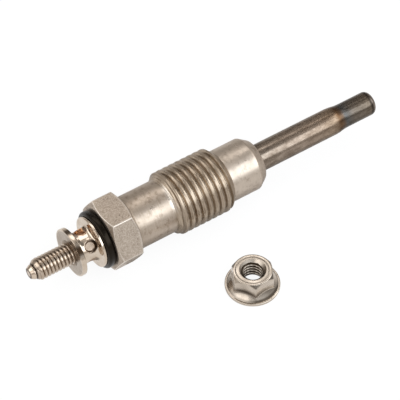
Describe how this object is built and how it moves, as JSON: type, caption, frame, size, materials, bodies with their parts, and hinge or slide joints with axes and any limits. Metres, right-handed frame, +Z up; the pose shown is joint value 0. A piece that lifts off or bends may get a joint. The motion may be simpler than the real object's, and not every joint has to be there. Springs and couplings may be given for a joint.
{
  "type": "diesel glow plug",
  "caption": "Diesel glow plug: hexagon shell with main thread and conical seat, swaged glow tube, terminal stud with crimped round nut and black seal ring, flanged terminal nut beside it.",
  "frame": {"origin": "on the plug's axis, halfway along the main thread", "axes": "+X along the plug's axis towards the heated tip, +Z up from the surface that the plug lies on"},
  "size_m": [0.0722, 0.0309, 0.012],
  "materials": {
    "nickel_satin": "warm satin nickel plating with a fine matte grain on the hexagon",
    "nickel_bright": "bright nickel plating",
    "nut_plating": "bright plating",
    "heat_tinted_steel": "drawn steel tinted brown and blue-grey by heat",
    "black_rubber": "matte black rubber",
    "brown_rubber": "matte brown rubber",
    "coil_alloy": "drawn resistance wire",
    "magnesia": "packed matte powder"
  },
  "bodies": {
    "root": {"plug_shell": "nickel_satin", "glow_tube": "heat_tinted_steel", "centre_pole": "nickel_bright", "round_nut": "nickel_bright", "seal_ring": "black_rubber", "pole_seal": "black_rubber", "heater_seal": "brown_rubber", "control_coil": "coil_alloy", "heating_coil": "coil_alloy", "magnesia_fill": "magnesia", "terminal_nut": "nut_plating"}
  },
  "joints": []
}
